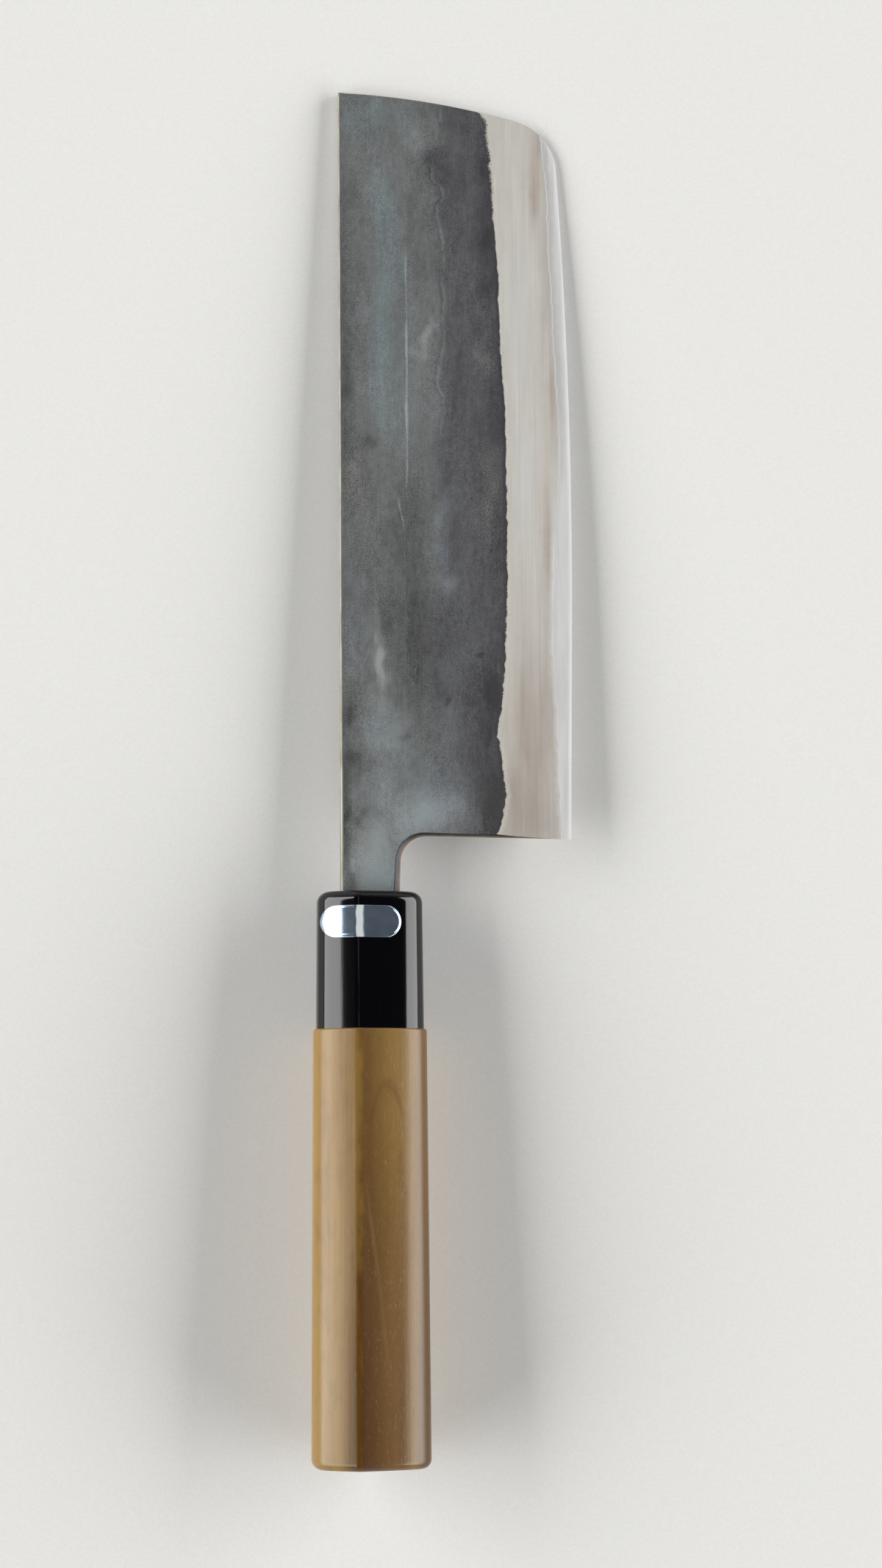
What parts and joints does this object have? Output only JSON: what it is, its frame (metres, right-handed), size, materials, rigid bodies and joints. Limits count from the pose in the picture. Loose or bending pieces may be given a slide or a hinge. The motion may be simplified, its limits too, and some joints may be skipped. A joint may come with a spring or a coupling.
{
  "type": "nakiri knife",
  "caption": "Japanese vegetable knife with a tall, square-ended three-layer blade, a black horn ferrule and a chestnut-shaped wooden handle.",
  "frame": {"origin": "Middle of the knife's bounding box in X and Y, at the height of the lowest point of the handle's underside.", "axes": "+X from the spine to the cutting edge, +Y from the butt to the tip, +Z out of the blade's right face, so the knife lies on its left side."},
  "size_m": [0.0573, 0.2986, 0.0207],
  "materials": {
    "hard_steel": "satin",
    "forged_iron": "matte",
    "buffalo_horn": "gloss",
    "magnolia_wood": "satin",
    "tang_resin": "satin",
    "silver_foil": "satin"
  },
  "bodies": {
    "root": {"core_steel": "hard_steel", "cladding_left": "forged_iron", "cladding_right": "forged_iron", "horn_ferrule": "buffalo_horn", "wooden_grip": "magnolia_wood", "tang_bedding": "tang_resin", "foil_label": "silver_foil"}
  },
  "joints": []
}
